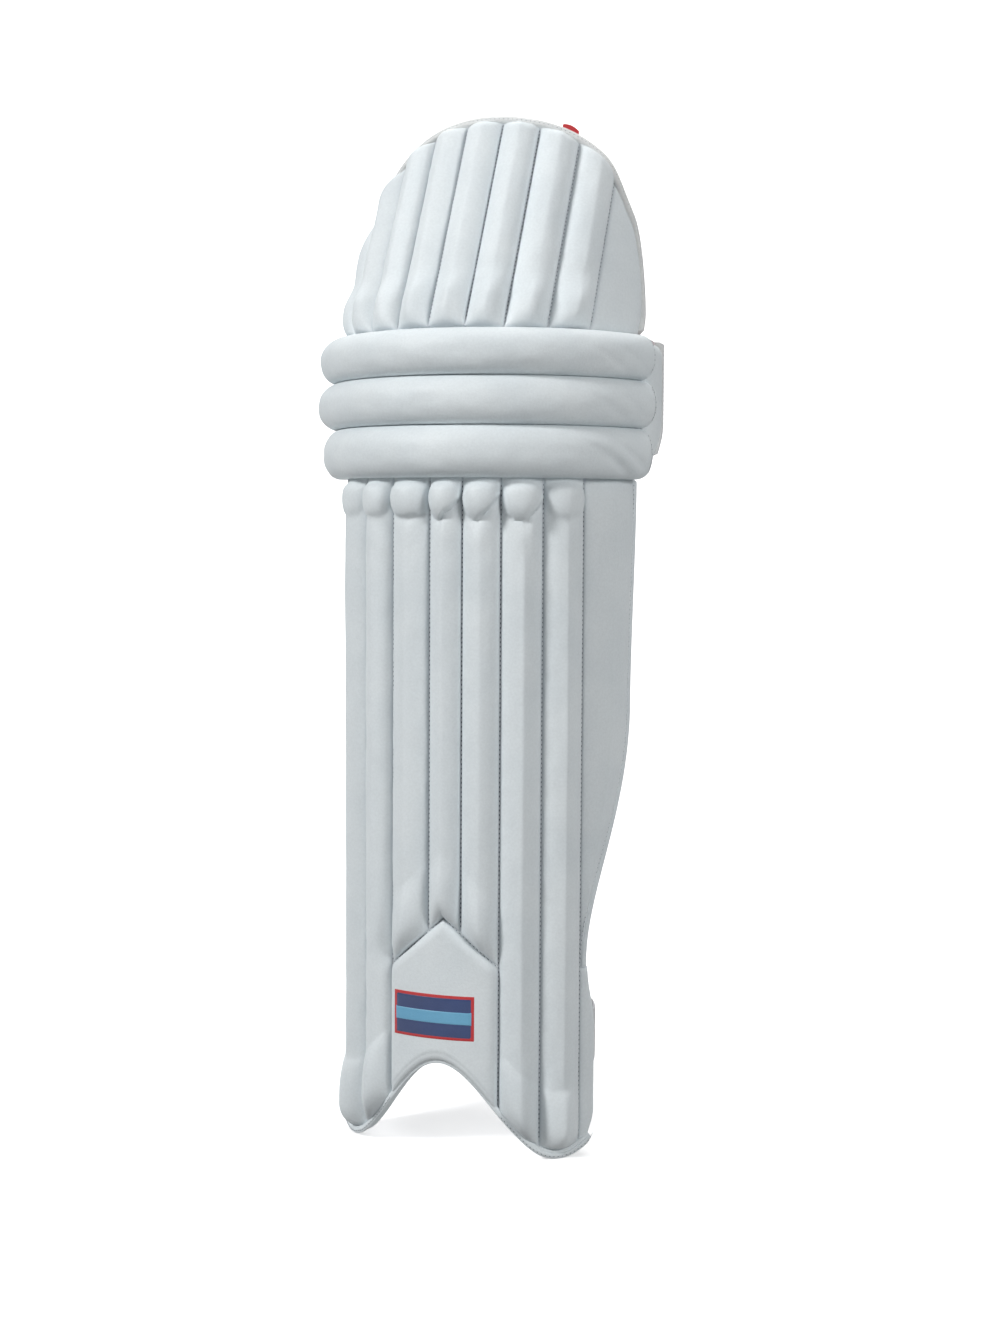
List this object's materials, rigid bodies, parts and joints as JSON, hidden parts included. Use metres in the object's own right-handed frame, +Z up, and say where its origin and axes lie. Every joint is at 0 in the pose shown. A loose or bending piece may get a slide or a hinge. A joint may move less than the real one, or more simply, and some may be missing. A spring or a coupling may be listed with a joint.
{
  "type": "cricket leg pad",
  "caption": "Padded leg guard for a batter: caned shin shell with an arched foot, knee rolls, folding thigh flap, outer wing and hook-and-loop straps",
  "frame": {"origin": "on the leg's axis, level with the lowest point of the toes", "axes": "+Z up along the shin, -Y the way the pad's front faces, +X the outer side of a left leg"},
  "size_m": [0.2426, 0.2279, 0.7005],
  "materials": {
    "facing": "fine-grained white polyurethane coated fabric, satin",
    "binding": "white coated binding tape, stitched",
    "lining": "grey knitted mesh over foam",
    "foam": "closed-cell foam and fibre filling",
    "cane": "plain cane rods",
    "webbing": "white woven webbing",
    "hook_and_loop": "hook and loop pile",
    "patch": "plain dark blue coated patch, stitched",
    "tab": "plain folded woven tab"
  },
  "bodies": {
    "shin": {"shin_facing": "facing", "shin_channel_filling": "foam", "shin_canes": "cane", "shin_foam_board": "foam", "shin_lining": "lining", "instep_panel": "facing", "instep_foam": "foam", "chevron_piping": "binding", "instep_patch": "patch", "lower_edge_binding": "binding", "inner_wing": "facing", "inner_wing_foam": "foam", "inner_wing_binding": "binding", "ankle_panel": "facing", "ankle_panel_foam": "foam", "shin_bolsters": "lining", "ankle_bolster": "lining", "calf_loop_tab": "webbing", "calf_loop_patch": "hook_and_loop", "ankle_strap_anchor": "webbing", "ankle_loop_tab": "webbing", "ankle_loop_patch": "hook_and_loop"},
    "outer_wing": {"outer_wing_facing": "facing", "outer_wing_foam": "foam", "outer_wing_lining": "lining", "outer_wing_binding": "binding", "calf_strap_anchor": "webbing"},
    "roll_3": {"knee_roll_3": "facing", "knee_roll_3_foam": "foam", "knee_backing_3": "lining"},
    "roll_2": {"knee_roll_2": "facing", "knee_roll_2_foam": "foam", "knee_backing_2": "lining", "knee_bolster": "lining", "knee_wing": "facing", "knee_wing_foam": "foam", "knee_strap_anchor": "webbing", "knee_loop_tab": "webbing", "knee_loop_patch": "hook_and_loop"},
    "roll_1": {"knee_roll_1": "facing", "knee_roll_1_foam": "foam", "knee_backing_1": "lining"},
    "flap": {"thigh_facing": "facing", "thigh_channel_filling": "foam", "thigh_canes": "cane", "thigh_lining": "lining", "thigh_gusset": "facing", "thigh_binding": "binding", "thigh_tab": "tab"},
    "knee_strap_band": {"knee_strap": "webbing", "knee_strap_hook": "hook_and_loop"},
    "calf_strap_band": {"calf_strap": "webbing", "calf_strap_hook": "hook_and_loop", "calf_strap_sleeve": "lining"},
    "ankle_strap_band": {"ankle_strap": "webbing", "ankle_strap_hook": "hook_and_loop"}
  },
  "joints": [
    {"name": "roll_3_flex", "type": "hinge", "parent": "shin", "child": "roll_3", "pos_m": [0, -0.08, 0.45445], "axis": [-1, 0, 0], "range_deg": [0, 5]},
    {"name": "roll_2_flex", "type": "hinge", "parent": "roll_3", "child": "roll_2", "pos_m": [0, -0.08, 0.48795], "axis": [-1, 0, 0], "range_deg": [0, 5]},
    {"name": "roll_1_flex", "type": "hinge", "parent": "roll_2", "child": "roll_1", "pos_m": [0, -0.08, 0.51995], "axis": [-1, 0, 0], "range_deg": [0, 5]},
    {"name": "flap_fold", "type": "hinge", "parent": "roll_1", "child": "flap", "pos_m": [0, -0.104, 0.5508], "axis": [-1, 0, 0], "range_deg": [-25, 12]},
    {"name": "wing_flex", "type": "hinge", "parent": "shin", "child": "outer_wing", "pos_m": [0.07299, -0.06081, 0.29], "axis": [0, 0, 1], "range_deg": [0, 9]},
    {"name": "knee_strap_swing", "type": "hinge", "parent": "roll_2", "child": "knee_strap_band", "pos_m": [0.09931, 0.01679, 0.5025], "axis": [0, 0, -1], "range_deg": [0, 75]},
    {"name": "calf_strap_swing", "type": "hinge", "parent": "outer_wing", "child": "calf_strap_band", "pos_m": [0.09053, -0.02025, 0.33], "axis": [0, 0, -1], "range_deg": [0, 75]},
    {"name": "ankle_strap_swing", "type": "hinge", "parent": "shin", "child": "ankle_strap_band", "pos_m": [0.07747, -0.05096, 0.068], "axis": [0, 0, -1], "range_deg": [0, 60]}
  ],
  "couplings": [
    {"joint": "roll_2_flex", "follows": "roll_3_flex", "ratio": 1},
    {"joint": "roll_1_flex", "follows": "roll_3_flex", "ratio": 1}
  ]
}
